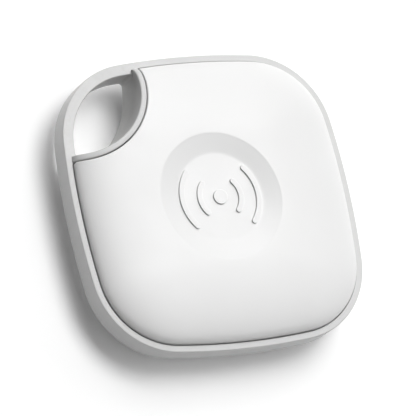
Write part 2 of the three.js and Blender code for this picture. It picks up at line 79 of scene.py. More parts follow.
HALF_WIDTH = case_high.x
CREST_Z = cover_high.z
SKIRT_Z = cover_low.z
COVER_INSET = HALF_WIDTH - cover_high.x
DISH_EDGE = dish_high.x
print(f"half width {HALF_WIDTH:.2f} mm, crest at {CREST_Z:.2f} mm")
print(f"cover in by {COVER_INSET:.2f} mm, dish out to {DISH_EDGE:.2f} mm")

# %% [markdown]
# The rest was settled when the tag was designed: the arcs of its outline, the heights of the rim
# and of the ledge inside it, the run of the cover's steep edge, and the circles of the dish and of
# the key loop. Each value is named once, so that a change here reaches every shape below.

# %% Driving dimensions of the shell
CORNER_RADIUS = 10.4
SIDE_RADIUS = 94.0
RIM_Z = 4.85
LEDGE_Z = 3.95
WALL_FOOT_Z = 1.85
BACK_RUN = 8.0
PART_LINE = 0.12
COVER_RUN = 9.7
CROWN_POWER = 1.5
EDGE_POWER = 2.6
SHELL = 0.9
print(f"the cover rises {CREST_Z - RIM_Z:.2f} mm over the rim")

# %% Driving dimensions of the dish and the key loop
DISH_RADIUS = 8.2
DISH_FLOOR_RADIUS = 5.7
DISH_FLOOR_Z = 6.67
MARK_Z = 6.87
LOOP_CENTRE = np.array([-16.4, 16.4])
LOOP_RADIUS = 9.2
BITE_RADIUS = 10.05
BAND_WIDTH = 1.45
TIP_ROUND = 0.5
print(f"the dish is {CREST_Z - DISH_FLOOR_Z:.2f} mm deep, its mark {MARK_Z - DISH_FLOOR_Z:.2f} mm high")

# %% [markdown]
# ## The outline
# The plan of the tag is not a plain rounded square: each side is a very flat arc that runs into a
# tight corner arc. A superellipse would come close, but two tangent arcs hold the true corner
# radius and can be moved in or out exactly, by changing their radii and keeping their centres.
# Everything else hangs on that.

# %% Where the arcs meet
SIDE_OFFSET = SIDE_RADIUS - HALF_WIDTH
ARC_SPACING = SIDE_RADIUS - CORNER_RADIUS
CORNER_OFFSET = (math.sqrt(2 * ARC_SPACING**2 - SIDE_OFFSET**2) - SIDE_OFFSET) / 2
SIDE_SWEEP = math.atan2(CORNER_OFFSET, CORNER_OFFSET + SIDE_OFFSET)
SIDE_STEPS = 20
CORNER_STEPS = 30
print(f"a side arc turns {math.degrees(2 * SIDE_SWEEP):.1f} degrees")

# %% Arcs


def polar(radius, angle):
    return np.array([radius * math.cos(angle), radius * math.sin(angle)])


def bearing(start, end):
    across = end - start
    return math.atan2(across[1], across[0])


def arc(centre, radius, start, end, steps):
    """Points along an arc from the start angle up to, but without, the end angle."""
    angles = np.linspace(start, end, steps, endpoint=False)
    return centre + radius * np.column_stack([np.cos(angles), np.sin(angles)])


print("a quarter turn in three steps:", arc(np.zeros(2), 1, 0, math.pi / 2, 3).round(3).tolist())

# %% The tag's outline


def side_centre(facing):
    return polar(-SIDE_OFFSET, facing)


def corner_centre(facing):
    return polar(CORNER_OFFSET * math.sqrt(2), facing + math.pi / 4)


def side_arc(facing, inset, start=-SIDE_SWEEP, end=SIDE_SWEEP, steps=SIDE_STEPS):
    return arc(side_centre(facing), SIDE_RADIUS - inset, facing + start, facing + end, steps)


def corner_arc(facing, inset):
    start = facing + SIDE_SWEEP
    end = facing + math.pi / 2 - SIDE_SWEEP
    return arc(corner_centre(facing), CORNER_RADIUS - inset, start, end, CORNER_STEPS)


def outline(inset):
    facings = [quarter * math.pi / 2 for quarter in range(4)]
    return np.vstack([part for f in facings for part in (side_arc(f, inset), corner_arc(f, inset))])


print("points round the outline:", len(outline(0)))

# %% [markdown]
# ## Heights over the plan
# The cover is a pillow: a steep edge that eases into a gentle crown. The back is the same idea
# upside down, a shallow dome with a flat middle. Both are formulas of one number, how far a point
# lies in from the outline, so any ring of points can be lifted onto them, and the pieces that share
# a surface match without any fitting.

# %% Height functions


def inset_at(points):
    """How far in from the outline each point of the plan lies."""
    along = np.abs(points).max(axis=1)
    across = np.abs(points).min(axis=1)
    by_side = SIDE_RADIUS - np.hypot(along + SIDE_OFFSET, across)
    by_corner = CORNER_RADIUS - np.hypot(along - CORNER_OFFSET, across - CORNER_OFFSET)
    beside = np.arctan2(across, along + SIDE_OFFSET) < SIDE_SWEEP
    return np.where(beside, by_side, by_corner)


def cover_height(points):
    run = np.clip((inset_at(points) - COVER_INSET) / COVER_RUN, 0, 1)
    return RIM_Z + (CREST_Z - RIM_Z) * (1 - (1 - run) ** CROWN_POWER) ** (1 / EDGE_POWER)


def back_height(points):
    return WALL_FOOT_Z * (1 - np.clip(inset_at(points) / BACK_RUN, 0, 1)) ** 2


def lift(points, heights):
    """A ring of the plan at the given height, or heights."""
    return np.column_stack([points, np.broadcast_to(heights, len(points))])


print("crown height over the middle of a side:", cover_height(np.array([[12.0, 0.0]])))

# %% [markdown]
# ## Two more loops
# The cover's edge follows the outline and then turns in round the key loop, with two small rounded
# tips. The hole through the key loop is a lens with rounded tips. Each is a chain of arcs, and the
# centres of the small arcs at the tips lie where two circles cross. Because a loop can be asked for
# moved in or out, one function serves for the cover's edge, the recess that it drops into and the
# cavity beneath.

# %% Where two circles cross


def circles_meet(first, first_radius, second, second_radius):
    """The crossing of two circles that lies left of the line from the first centre to the second."""
    between = second - first
    distance = math.hypot(*between)
    along = (distance**2 + first_radius**2 - second_radius**2) / (2 * distance)
    across = math.sqrt(first_radius**2 - along**2)
    unit = between / distance
    return first + along * unit + across * np.array([-unit[1], unit[0]])


UP = math.pi / 2
LEFT = math.pi


def tip_centres(side_inset, loop_radius):
    """Centres of the two tips, at that inset from the sides and that radius round the key loop."""
    left = circles_meet(side_centre(LEFT), SIDE_RADIUS - side_inset, LOOP_CENTRE, loop_radius)
    return left, np.array([-left[1], -left[0]])


print("the loop's edge crosses the outline at", *tip_centres(0, LOOP_RADIUS))

# %% The cover's edge
TIP_STEPS = 8
BITE_STEPS = 56
COVER_TIP_ROUND = 0.3
SHARPEST_TIP = 0.02


def cover_loop(inset):
    """The cover's edge moved in by an inset, anticlockwise from the tip on the left side."""
    tip = max(COVER_TIP_ROUND - inset, SHARPEST_TIP)
    side = COVER_INSET + inset
    left_tip, top_tip = tip_centres(side + tip, BITE_RADIUS + inset + tip)
    left_turn = bearing(side_centre(LEFT), left_tip) % (2 * math.pi)
    top_turn = bearing(side_centre(UP), top_tip)
    bite_start = bearing(LOOP_CENTRE, top_tip)
    bite_end = bearing(LOOP_CENTRE, left_tip)
    return np.vstack([
        side_arc(LEFT, side, left_turn - LEFT),
        corner_arc(LEFT, side),
        side_arc(-UP, side),
        corner_arc(-UP, side),
        side_arc(0, side),
        corner_arc(0, side),
        side_arc(UP, side, end=top_turn - UP),
        arc(top_tip, tip, top_turn, bite_start + LEFT, TIP_STEPS),
        arc(LOOP_CENTRE, BITE_RADIUS + inset, bite_start, bite_end, BITE_STEPS),
        arc(left_tip, tip, bite_end + LEFT, left_turn, TIP_STEPS),
    ])


print("points round the cover:", len(cover_loop(0)))

# %% The key hole's edge
BAND_STEPS = 4


def hole_loop(inset):
    """The key hole's edge moved in by an inset, anticlockwise from the tip on the top side."""
    left_tip, top_tip = tip_centres(BAND_WIDTH + TIP_ROUND, LOOP_RADIUS - TIP_ROUND)
    tip = TIP_ROUND - inset
    side = BAND_WIDTH + inset
    band_start = bearing(side_centre(UP), top_tip)
    band_end = bearing(side_centre(LEFT), left_tip) % (2 * math.pi)
    collar_start = bearing(LOOP_CENTRE, left_tip) + 2 * math.pi
    collar_end = bearing(LOOP_CENTRE, top_tip) + 2 * math.pi
    return np.vstack([
        side_arc(UP, side, band_start - UP, steps=BAND_STEPS),
        corner_arc(UP, side),
        side_arc(LEFT, side, end=band_end - LEFT, steps=BAND_STEPS),
        arc(left_tip, tip, band_end, collar_start, TIP_STEPS),
        arc(LOOP_CENTRE, LOOP_RADIUS - inset, collar_start, collar_end, BITE_STEPS),
        arc(top_tip, tip, collar_end, band_start + 2 * math.pi, TIP_STEPS),
    ])


print("points round the hole:", len(hole_loop(0)))

# %% [markdown]
# ## From rings to meshes
# A loft joins rings of equal length with quads. It is the right tool for moulded shells, because
# the edge loops run along the rounded edges where a bevel would put them. A loft that closes on
# itself makes a hollow ring such as the cover; one with a face at each end makes a solid that can
# cut another.

# %% Meshes from rings


def make_piece(name, vertices, faces):
    mesh = bpy.data.meshes.new(name)
    mesh.from_pydata((np.asarray(vertices) * MM).tolist(), [], faces)
    mesh.validate()
    piece = bpy.data.objects.new(name, mesh)
    bpy.context.scene.collection.objects.link(piece)
    return piece


def loft(name, rings, closed=False):
    """Quads between rings, from the bottom outwards and up. Closed, the last ring joins the first."""
    count = len(rings[0])
    pairs = [(level, (level + 1) % len(rings)) for level in range(len(rings) - (not closed))]
    faces = []
    for low, high in pairs:
        for i in range(count):
            j = (i + 1) % count
            faces.append((low * count + i, low * count + j, high * count + j, high * count + i))
    if not closed:
        faces.append(tuple(reversed(range(count))))
        faces.append(tuple(range((len(rings) - 1) * count, len(rings) * count)))
    return make_piece(name, np.vstack(rings), faces)


def count_faces(piece):
    print(f"{piece.name}: {len(piece.data.polygons)} faces")


print("a mesh is made in millimetres times", MM)

# %% [markdown]
# Two more tools follow. A boolean cuts or joins solids, and of Blender's solvers the exact one
# copes with faces that nearly touch. Its result is applied at once, so that the next cut meets a
# plain mesh. Smooth shading alone would make flat faces look dented, so real edges are marked sharp
# and a modifier weights the normals by area.

# %% Cut, join and smooth
SHARP_ANGLE = math.radians(32)


def combine(piece, other, operation):
    """Cuts or joins another solid, with Blender's exact boolean, and deletes it."""
    step = piece.modifiers.new("combine", "BOOLEAN")
    step.operation = operation
    step.solver = "EXACT"
    step.object = other
    graph = bpy.context.evaluated_depsgraph_get()
    mesh = bpy.data.meshes.new_from_object(piece.evaluated_get(graph))
    piece.modifiers.remove(step)
    piece.data = mesh
    bpy.data.objects.remove(other)


def smooth(piece):
    """Smooth shading that keeps flat faces flat and breaks at real edges."""
    piece.data.shade_smooth()
    piece.data.set_sharp_from_angle(angle=SHARP_ANGLE)
    weighted = piece.modifiers.new("flat faces stay flat", "WEIGHTED_NORMAL")
    weighted.keep_sharp = True


print(f"edges that turn by more than {math.degrees(SHARP_ANGLE):.0f} degrees stay crisp")

# %% [markdown]
# ## Front cover
# The cover is one moulded skin about 0.9 mm thick with a skirt that drops into the case. The loft
# runs up the skirt, over the steep edge in closely spaced rings, across the crown to the dish's
# edge, down through the thickness and back underneath. Along the key loop its edge has a small
# round, taken off as a drop in height near that edge.

# %% The round along the key loop
EDGE_ROUND = 0.14


def edge_drop(points):
    """How far the rounded edge along the key loop lies below the crown's surface."""
    from_edge = np.hypot(*(points - LOOP_CENTRE).T) - BITE_RADIUS
    short = np.clip(EDGE_ROUND - from_edge, 0, EDGE_ROUND)
    return EDGE_ROUND - np.sqrt(EDGE_ROUND**2 - short**2)


print("the edge itself drops by", edge_drop(LOOP_CENTRE + np.array([[BITE_RADIUS, 0.0]])), "mm")

# %% The crown
CROWN_RINGS = 22
EVENED_POINTS = 12


def circle_towards(points, radius):
    """A circle with one point for each given point, in the same direction but evened out."""
    angles = np.unwrap(np.arctan2(points[:, 1], points[:, 0]))
    turn = 2 * math.pi
    padded = np.concatenate([angles[-EVENED_POINTS:] - turn, angles, angles[:EVENED_POINTS] + turn])
    window = np.ones(2 * EVENED_POINTS + 1) / (2 * EVENED_POINTS + 1)
    even = np.convolve(padded, window, mode="valid")
    return radius * np.column_stack([np.cos(even), np.sin(even)])


def crown_rings(insets, drop):
    """Rings from the edge over the crown, up to but without the dish's edge."""
    rings = []
    for inset in insets:
        plan = cover_loop(inset)
        rings.append(lift(plan, cover_height(plan) - edge_drop(plan) - drop))
    outer = cover_loop(insets[-1])
    inner = circle_towards(outer, DISH_RADIUS)
    for share in np.linspace(0, 1, CROWN_RINGS)[1:-1]:
        plan = outer + (inner - outer) * share
        rings.append(lift(plan, cover_height(plan) - drop))
    return rings


print("rings over the gentle part of the crown:", CROWN_RINGS - 2)

# %% [markdown]
# The dish meets the crown in a crisp crease. A hair below it the cover's mesh ends and the dish's
# mesh begins, in the middle of a straight slope, where the join can't be seen.

# %% The crease at the dish
EDGE_INSETS = [0, 0.004, 0.012, 0.028, 0.05, 0.08, 0.115, 0.15, 0.21, 0.3, 0.42, 0.58, 0.8, 1.1, 1.5]
SEAM_GAP = 0.002
DISH_SLOPE = (CREST_Z - DISH_FLOOR_Z) / (DISH_RADIUS - DISH_FLOOR_RADIUS)
SEAM_Z = CREST_Z - DISH_SLOPE * (DISH_RADIUS - DISH_EDGE)
CREASE = 0.12


def dish_edge_rings():
    """The crisp crease at the dish's edge, as a small round from the crown into the slope."""
    outer = cover_loop(EDGE_INSETS[-1])
    rings = []
    for step in np.linspace(1, -1, 5):
        radius = DISH_RADIUS + CREASE * step
        depth = DISH_SLOPE * CREASE * (1 - step) ** 2 / 4
        rings.append(lift(circle_towards(outer, radius), CREST_Z - depth))
    rings.append(lift(circle_towards(outer, DISH_EDGE + SEAM_GAP), SEAM_Z))
    return rings


print(f"the dish's side slopes by {math.degrees(math.atan(DISH_SLOPE)):.0f} degrees")

# %% The whole cover
DISH_SKIN = 0.6
SKIRT_STEP = 0.3


def make_cover():
    edge = cover_loop(0)
    under_insets = [SHELL, *EDGE_INSETS[-2:]]
    rings = [lift(edge, SKIRT_Z), lift(edge, SKIRT_Z + SKIRT_STEP)]
    rings += crown_rings(EDGE_INSETS, 0)
    rings += dish_edge_rings()
    rings.append(lift(circle_towards(cover_loop(EDGE_INSETS[-1]), DISH_EDGE + SEAM_GAP), SEAM_Z - DISH_SKIN))
    rings += crown_rings(under_insets, SHELL)[::-1]
    rings.append(lift(cover_loop(SHELL), SKIRT_Z))
    cover = loft("cover_shell", rings, closed=True)
    smooth(cover)
    return cover


cover = make_cover()
count_faces(cover)

# %% [markdown]
# ## Press dish
# The dish has no parting line: on the real tag it is the thin middle of the cover, and it flexes by a
# fraction of a millimetre. It is a mesh of its own here. The raised mark is a plain signal sign of strokes
# with round ends, each a small loft joined to the floor.

# %% Strokes of the mark
STROKE = 0.7
DOT_RADIUS = 0.95
MARK_RADII = (2.8, 5.2)
MARK_SWEEP = 0.72
MARK_ROUND = 0.06
MARK_SINK = 0.3
STROKE_STEPS = 40
END_STEPS = 12
DOT_STEPS = 48
ORIGIN = np.zeros(2)


def stroke_loop(radius, facing, inset):
    half = STROKE / 2 - inset
    start = facing - MARK_SWEEP
    end = facing + MARK_SWEEP
    return np.vstack([
        arc(ORIGIN, radius + half, start, end, STROKE_STEPS),
        arc(polar(radius, end), half, end, end + math.pi, END_STEPS),
        arc(ORIGIN, radius - half, end, start, STROKE_STEPS),
        arc(polar(radius, start), half, start + math.pi, start + 2 * math.pi, END_STEPS),
    ])


def dot_loop(inset):
    return arc(ORIGIN, DOT_RADIUS - inset, 0, 2 * math.pi, DOT_STEPS)


def raised(name, loop):
    """A raised shape with a rounded top edge, from inside the floor up to the mark's height."""
    rings = [lift(loop(0), DISH_FLOOR_Z - MARK_SINK), lift(loop(0), MARK_Z - MARK_ROUND)]
    for turn in np.linspace(0, math.pi / 2, 4)[1:]:
        inset = MARK_ROUND * (1 - math.cos(turn))
        rings.append(lift(loop(inset), MARK_Z - MARK_ROUND + MARK_ROUND * math.sin(turn)))
    return loft(name, rings)


print("the mark: one dot and", 2 * len(MARK_RADII), "arcs")

# %% The dish
ROUND_STEPS = 192
SLOPE_RINGS = 10
FLOOR_CREASE = 0.25
NUB_RADIUS = 1.2
NUB_DROP = 0.14


def circle_ring(radius, z):
    return lift(arc(ORIGIN, radius, 0, 2 * math.pi, ROUND_STEPS), z)


def make_dish():
    edge = DISH_EDGE - SEAM_GAP
    under = DISH_FLOOR_Z - DISH_SKIN
    rings = [circle_ring(NUB_RADIUS, under - NUB_DROP), circle_ring(NUB_RADIUS, under)]
    rings += [circle_ring(DISH_FLOOR_RADIUS, under), circle_ring(edge, SEAM_Z - DISH_SKIN)]
    for share in np.linspace(0, 1, SLOPE_RINGS):
        radius = edge + (DISH_FLOOR_RADIUS + FLOOR_CREASE - edge) * share
        rings.append(circle_ring(radius, CREST_Z - DISH_SLOPE * (DISH_RADIUS - radius)))
    for step in (0.5, 0, -0.5, -1):
        depth = DISH_SLOPE * FLOOR_CREASE * (1 + step) ** 2 / 4
        rings.append(circle_ring(DISH_FLOOR_RADIUS + FLOOR_CREASE * step, DISH_FLOOR_Z + depth))
    dish = loft("dish_membrane", rings)
    combine(dish, raised("dot", dot_loop), "UNION")
    for facing in (0, math.pi):
        for radius in MARK_RADII:
            stroke = raised("stroke", lambda inset, r=radius, f=facing: stroke_loop(r, f, inset))
            combine(dish, stroke, "UNION")
    smooth(dish)
    return dish


dish = make_dish()
count_faces(dish)

# %% [markdown]
# ## Rear case
# The case is a tub with a domed back, an upright wall and a flat rim, and its collar round the key
# loop rises to carry on the cover's crown. It is made the way a toolmaker thinks: a full solid,
# less the recess that the cover drops into, plus what stands inside it, less the key hole, plus the
# collar. The cutters are lofts too, with flared ends, so the cuts leave rounded edges.

# %% The full solid
FOOT_ROUND = 0.35
RIM_ROUND = 0.15
BACK_RINGS = 26


def case_body():
    rings = []
    for inset in np.linspace(BACK_RUN, FOOT_ROUND, BACK_RINGS):
        plan = outline(inset)
        rings.append(lift(plan, back_height(plan)))
    foot_z = WALL_FOOT_Z * (1 - FOOT_ROUND / BACK_RUN) ** 2
    wall_z = WALL_FOOT_Z + FOOT_ROUND
    for share in np.linspace(0, 1, 6)[1:]:
        rest = 1 - share
        z = foot_z * rest**2 + 2 * WALL_FOOT_Z * share * rest + wall_z * share**2
        rings.append(lift(outline(FOOT_ROUND * rest**2), z))
    for turn in np.linspace(0, math.pi / 2, 6):
        inset = RIM_ROUND * (1 - math.cos(turn))
        rings.append(lift(outline(inset), RIM_Z - RIM_ROUND + RIM_ROUND * math.sin(turn)))
    return loft("case_shell", rings)


case = case_body()
count_faces(case)

# %% Less the recess and the cavity
INNER_ROUND = 0.05
FLOOR_Z = 0.85
CASE_SKIN = 0.75
CAVITY_INSET = 0.95
CAVITY_RINGS = 14
ABOVE = CREST_Z + 1


def recess():
    """What the cover's recess and the cavity under it take out of the case."""
    cavity = cover_loop(CAVITY_INSET)
    rings = []
    for share in np.linspace(0.1, 1, CAVITY_RINGS):
        plan = cavity * share
        rings.append(lift(plan, np.maximum(FLOOR_Z, back_height(plan) + CASE_SKIN)))
    rings.append(lift(cavity, LEDGE_Z))
    rings.append(lift(cover_loop(-PART_LINE), LEDGE_Z))
    rings.append(lift(cover_loop(-PART_LINE), RIM_Z - INNER_ROUND))
    rings.append(lift(cover_loop(-PART_LINE - INNER_ROUND), RIM_Z))
    rings.append(lift(cover_loop(-PART_LINE - INNER_ROUND), ABOVE))
    return loft("recess", rings)


combine(case, recess(), "DIFFERENCE")
count_faces(case)

# %% [markdown]
# Inside, the case holds the buzzer on a short tube and carries the board on four posts, each with a
# thin pin that locates it. All of them grow out of the floor, which is nowhere flat, so the foot of
# each follows the back's surface a little way above it, and the union buries the join inside the
# floor's skin.

# %% Plus the buzzer's seat
BUZZER_AT = np.array([-10.5, -9.4])
BUZZER_SEAT_Z = 2.2
SEAT_OUTER = 5.4
SEAT_INNER = 4.8
SEAT_CHAMFER = 0.06
SEAT_GAP = 0.02
ROOT = 0.3
STUD_STEPS = 48


def rooted_ring(centre, radius):
    """A circle just above the back's surface, inside the floor's skin."""
    plan = arc(centre, radius, 0, 2 * math.pi, STUD_STEPS)
    return lift(plan, back_height(plan) + ROOT)


def upright_rings(centre, profile):
    """Level circles round one centre, from pairs of radius and height."""
    return [lift(arc(centre, radius, 0, 2 * math.pi, STUD_STEPS), z) for radius, z in profile]


def buzzer_seat():
    top = BUZZER_SEAT_Z - SEAT_GAP
    profile = [(SEAT_OUTER, top - SEAT_CHAMFER), (SEAT_OUTER - SEAT_CHAMFER, top)]
    profile += [(SEAT_INNER + SEAT_CHAMFER, top), (SEAT_INNER, top - SEAT_CHAMFER)]
    rings = [rooted_ring(BUZZER_AT, SEAT_OUTER)]
    rings += upright_rings(BUZZER_AT, profile)
    rings.append(rooted_ring(BUZZER_AT, SEAT_INNER))
    return loft("buzzer_seat", rings, closed=True)


combine(case, buzzer_seat(), "UNION")
count_faces(case)

# %% Plus the board's posts
POSTS = [(13.2, 11.6), (-3.8, 14.6), (-14.6, 3.8), (-1.5, -14.9)]
BOARD_FOOT_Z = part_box("circuit_board")[0].z / MM
POST_RADIUS = 1.1
POST_SHOULDER = [(0, 0.12), (0.04, 0.06), (0.12, SEAT_GAP)]
PIN_RADIUS = 0.5
PIN_TOP_Z = 5.4
PIN_CHAMFER = 0.12


def board_post(at):
    profile = [(POST_RADIUS - inward, BOARD_FOOT_Z - down) for inward, down in POST_SHOULDER]
    profile.append((PIN_RADIUS, BOARD_FOOT_Z - SEAT_GAP))
    profile.append((PIN_RADIUS, PIN_TOP_Z - PIN_CHAMFER))
    profile.append((PIN_RADIUS - PIN_CHAMFER, PIN_TOP_Z))
    return loft("board_post", [rooted_ring(at, POST_RADIUS), *upright_rings(at, profile)])


for at in POSTS:
    combine(case, board_post(np.array(at)), "UNION")
count_faces(case)

# %% [markdown]
# The key hole goes right through the corner. Its cutter widens in a quarter round where it leaves
# the back and where it leaves the band's flat face, so a key ring meets no sharp edge. The lower
# round follows the dome of the back.

# %% Less the key hole
HOLE_ROUND = 0.16
BELOW = -1.0


def key_hole():
    """The hole through the key loop, flared where it leaves the back and the band's flat face."""
    back = back_height(hole_loop(0))
    rings = [lift(hole_loop(-HOLE_ROUND), BELOW)]
    for turn in np.linspace(math.pi / 2, 0, 5):
        ease = HOLE_ROUND * (1 - math.cos(turn))
        rings.append(lift(hole_loop(-ease), back + HOLE_ROUND * (1 - math.sin(turn))))
    for turn in np.linspace(0, math.pi / 2, 5):
        ease = HOLE_ROUND * (1 - math.cos(turn))
        rings.append(lift(hole_loop(-ease), RIM_Z - HOLE_ROUND + HOLE_ROUND * math.sin(turn)))
    rings.append(lift(hole_loop(-HOLE_ROUND), ABOVE))
    return loft("key_hole", rings)


combine(case, key_hole(), "DIFFERENCE")
count_faces(case)

# %% [markdown]
# Between the hole and the cover stands a thin collar, part of the case, whose top carries on the
# cover's crown. It is a bar bent round the loop, so the rings of its loft are sections that turn
# about the loop's centre, each lifted onto the crown. It overlaps its neighbours by a hundredth,
# because faces that only touch don't join.

# %% Plus the collar round the key loop
COLLAR_STEPS = 90
COLLAR_ROUND = 0.15
COLLAR_END_INSET = 0.4
COLLAR_ROOT = 0.6
BURIED = 0.01


def make_collar():
    """The strip between hole and cover, as a bar bent round the loop. Its ends dive into the rim."""
    inner = LOOP_RADIUS - BURIED
    outer = BITE_RADIUS - PART_LINE - BURIED / 2
    left_end, top_end = tip_centres(COLLAR_END_INSET, (inner + outer) / 2)
    start = bearing(LOOP_CENTRE, left_end)
    end = bearing(LOOP_CENTRE, top_end)
    turns = np.linspace(0, math.pi / 2, 5)
    rounds = [(COLLAR_ROUND * (1 - math.sin(t)), COLLAR_ROUND * (1 - math.cos(t))) for t in turns]
    section = [(inner + across, -down) for across, down in reversed(rounds)]
    section += [(outer - across, -down) for across, down in rounds]
    rings = []
    for angle in np.linspace(start, end, COLLAR_STEPS):
        plan = np.array([LOOP_CENTRE + polar(radius, angle) for radius, _ in section])
        top = cover_height(plan) + np.array([down for _, down in section]) - BURIED
        foot = np.array([LOOP_CENTRE + polar(radius, angle) for radius in (outer, inner)])
        rings.append(np.vstack([lift(plan, top), lift(foot, RIM_Z - COLLAR_ROOT)]))
    return loft("collar", rings)


combine(case, make_collar(), "UNION")
smooth(case)
count_faces(case)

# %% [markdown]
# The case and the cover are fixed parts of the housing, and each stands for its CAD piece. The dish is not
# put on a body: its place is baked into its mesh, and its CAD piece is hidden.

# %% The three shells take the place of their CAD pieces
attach(case, "housing")
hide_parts("rear_case")
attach(cover, "housing")
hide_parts("front_cover")
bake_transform(dish)
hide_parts("press_dish")
print("the dish bends between heights", round(SEAM_Z, 3), "and", MARK_Z, "mm")

# %% [markdown]
# ## Snap dome
# Inside the push switch a thin steel dome gives the click: the plunger presses its crown flat. Here the dome
# is a mesh of its own, carried by the housing. It is a shallow cap with a small dimple at the crown, as
# stamped domes have.

# %% The dome's shape
dome_low, dome_high = (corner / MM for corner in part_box("switch_dome"))
DOME_SHEET = 0.05
DOME_RADIUS = dome_high.x
DOME_STEPS = 64
DIMPLE_RADIUS = 0.28
DIMPLE_DEPTH = 0.035


def dome_height(radius):
    """Height of the dome's underside at a radius."""
    rise = dome_high.z - DOME_SHEET - dome_low.z
    dimple = DIMPLE_DEPTH * max(0, 1 - radius / DIMPLE_RADIUS) ** 2
    return dome_low.z + rise * (1 - (radius / DOME_RADIUS) ** 2) - dimple


def dome_ring(radius, above):
    return lift(arc(ORIGIN, radius, 0, 2 * math.pi, DOME_STEPS), dome_height(radius) + above)


def make_dome():
    radii = np.concatenate([np.linspace(0.02, 0.4, 9), np.linspace(0.5, DOME_RADIUS, 12)])
    under = [dome_ring(radius, 0) for radius in radii]
    over = [dome_ring(radius, DOME_SHEET) for radius in radii[::-1]]
    dome = loft("snap_dome", under + over)
    smooth(dome)
    return dome


dome = make_dome()
count_faces(dome)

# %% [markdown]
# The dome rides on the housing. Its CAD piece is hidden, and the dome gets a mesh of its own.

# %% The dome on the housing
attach(dome, "housing")
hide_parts("switch_dome")
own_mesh(dome)

# %% [markdown]
# ## How the finishes are written
# A finish could be clicked together node by node, but here each one reads as a sum. `Shade` wraps
# one shader socket, so that plus, minus and times add the Math nodes, and 1 - mask works too.

# %% Sums of shades


class Shade:
    """A shader socket that Python's operators work on. Each operation adds one Math node."""

    def __init__(self, nodes, socket):
        self.nodes = nodes
        self.socket = socket

    def maths(self, operation, first, second):
        sockets = {"Value": first, "Value_001": second}
        return self.nodes.node("ShaderNodeMath", {"operation": operation}, sockets)

    def __add__(self, other):
        return self.maths("ADD", self, other)

    def __sub__(self, other):
        return self.maths("SUBTRACT", self, other)

    def __mul__(self, other):
        return self.maths("MULTIPLY", self, other)

    def __rsub__(self, other):
        return self.maths("SUBTRACT", other, self)

    __radd__ = __add__
    __rmul__ = __mul__


print("operations on a shade:", [name for name in vars(Shade) if name.endswith(("add__", "sub__", "mul__"))])

# %% [markdown]
# Every other node comes from one method, `node`: it takes the node's type, its settings, which come
# first because they can change its sockets, and then the values or links of the sockets. `Finish`
# is such a tree with a Principled shader in it. All patterns take their place from object
# coordinates, in metres, so they have the same scale on every piece.

# %% Adding nodes


def find_socket(sockets, name):
    return next(socket for socket in sockets if name in (socket.identifier, socket.name))


class Nodes:
    """A node tree to which nodes are added by one method."""

    def __init__(self, tree):
        self.tree = tree

    def fill(self, node, sockets):
        for name, value in sockets.items():
            socket = find_socket(node.inputs, name)
            if isinstance(value, Shade):
                self.tree.links.new(value.socket, socket)
            else:
                socket.default_value = value

    def node(self, kind, settings, sockets, output=None):
        node = self.tree.nodes.new(kind)
        for name, value in settings.items():
            setattr(node, name, value)
        self.fill(node, sockets)
        found = find_socket(node.outputs, output) if output else node.outputs[0]
        return Shade(self, found)


print("one tree adds all its nodes with", Nodes.node.__name__)

# %% A finish


class Finish(Nodes):
    """A new material with a Principled shader. Uniform values go straight onto the shader."""

    def __init__(self, name, **uniform):
        self.material = bpy.data.materials.new(name)
        self.material.use_nodes = True
        super().__init__(self.material.node_tree)
        self.shader = self.tree.nodes["Principled BSDF"]
        self.place = self.node("ShaderNodeTexCoord", {}, {}, "Object")
        self.set(uniform)

    def set(self, values):
        self.fill(self.shader, {name.replace("_", " "): value for name, value in values.items()})

    def finish(self, **varying):
        """Links what varies over the surface to the shader's own sockets."""
        self.set(varying)
        return self.material


print("a finish is a kind of", Finish.__base__.__name__)

# %% [markdown]
# Five patterns are enough for every finish: soft noise, a fade between two limits, a blend of two
# colours, a bump, and the distance from a point. They are written once, in sizes a maker would use:
# millimetres.

# %% Patterns in millimetres


def noise(finish, grain, detail=3.0, place=None):
    """Soft noise from 0 to 1, with a grain of about that many millimetres."""
    sockets = {"Vector": place or finish.place, "Scale": 1 / (grain * MM), "Detail": detail}
    return finish.node("ShaderNodeTexNoise", {}, sockets)


def fade(finish, value, low, high):
    """0 below low, 1 above high, and a smooth step between. Low may be the larger one."""
    sockets = {"Value": value, "From Min": low, "From Max": high}
    return finish.node("ShaderNodeMapRange", {"interpolation_type": "SMOOTHSTEP"}, sockets)


def blend(finish, share, first, second):
    """A colour between two colours, each a Shade or three numbers."""
    sockets = {"Factor_Float": share}
    for name, color in (("A_Color", first), ("B_Color", second)):
        sockets[name] = color if isinstance(color, Shade) else (*color, 1)
    return finish.node("ShaderNodeMix", {"data_type": "RGBA"}, sockets, "Result_Color")


def bump(finish, height, depth):
    """A bump as deep as that many millimetres where the height goes from 0 to 1."""
    sockets = {"Height": height, "Strength": 1.0, "Distance": depth * MM}
    return finish.node("ShaderNodeBump", {}, sockets)


def stretched(finish, x, y, z):
    """The place, with each axis multiplied, so that noise on it turns into streaks."""
    sockets = {"Vector": finish.place, "Vector_001": (x, y, z)}
    return finish.node("ShaderNodeVectorMath", {"operation": "MULTIPLY"}, sockets)


def distance_to(finish, x, y, z=None):
    """Distance in millimetres from a point, or from an upright line when z is left out."""
    place = finish.place if z is not None else stretched(finish, 1, 1, 0)
    sockets = {"Vector": place, "Vector_001": (x * MM, y * MM, (z or 0) * MM)}
    return finish.node("ShaderNodeVectorMath", {"operation": "DISTANCE"}, sockets, "Value") * (1 / MM)


print("noise with a grain of 1 mm has the scale", 1 / MM)

